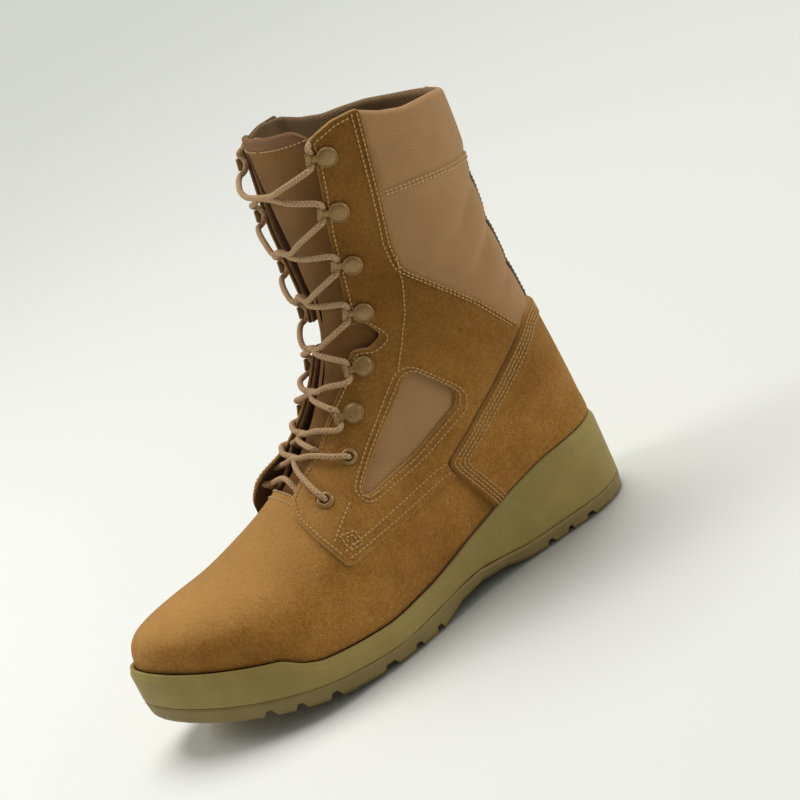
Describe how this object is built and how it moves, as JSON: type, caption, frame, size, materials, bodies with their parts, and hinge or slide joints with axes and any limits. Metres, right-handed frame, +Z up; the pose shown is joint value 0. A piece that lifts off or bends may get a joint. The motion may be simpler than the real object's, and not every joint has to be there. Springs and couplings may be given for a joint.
{
  "type": "lace-up desert boot",
  "caption": "Tall lace-up desert boot for the left foot: suede toe and quarters, padded fabric shaft, speed hooks and eyelets, criss-cross lace, lugged cupsole.",
  "frame": {"origin": "on the ground plane, under the middle of the boot's bounding box", "axes": "+Z up from the ground through the shaft; the heel lies towards +Y and the toe towards -Y; +X is the outer (lateral) side of the left foot"},
  "size_m": [0.1082, 0.305, 0.2755],
  "materials": {
    "tread_rubber": "matte brown-olive rubber",
    "sole_rubber": "matte olive rubber",
    "lining": "brown lining cloth",
    "shaft_fabric": "tan woven nylon",
    "suede": "rough-out coyote brown suede",
    "webbing": "dark brown webbing",
    "hardware": "olive-brown painted metal",
    "lace": "tan braided cord"
  },
  "bodies": {
    "root": {"outsole": "tread_rubber", "midsole": "sole_rubber", "insole": "lining", "upper": "shaft_fabric", "quarter_lateral": "suede", "quarter_medial": "suede", "heel_counter": "suede", "backstay": "webbing", "tongue": "shaft_fabric", "hook_lateral_1": "hardware", "hook_lateral_2": "hardware", "hook_lateral_3": "hardware", "hook_lateral_4": "hardware", "hook_lateral_5": "hardware", "hook_lateral_6": "hardware", "hook_medial_1": "hardware", "hook_medial_2": "hardware", "hook_medial_3": "hardware", "hook_medial_4": "hardware", "hook_medial_5": "hardware", "hook_medial_6": "hardware", "eyelet_lateral_1": "hardware", "eyelet_lateral_2": "hardware", "eyelet_medial_1": "hardware", "eyelet_medial_2": "hardware", "lace_cross_1": "lace", "lace_cross_2": "lace", "lace_cross_3": "lace", "lace_cross_4": "lace", "lace_cross_5": "lace", "lace_cross_6": "lace", "lace_cross_7": "lace", "lace_bar": "lace"}
  },
  "joints": []
}
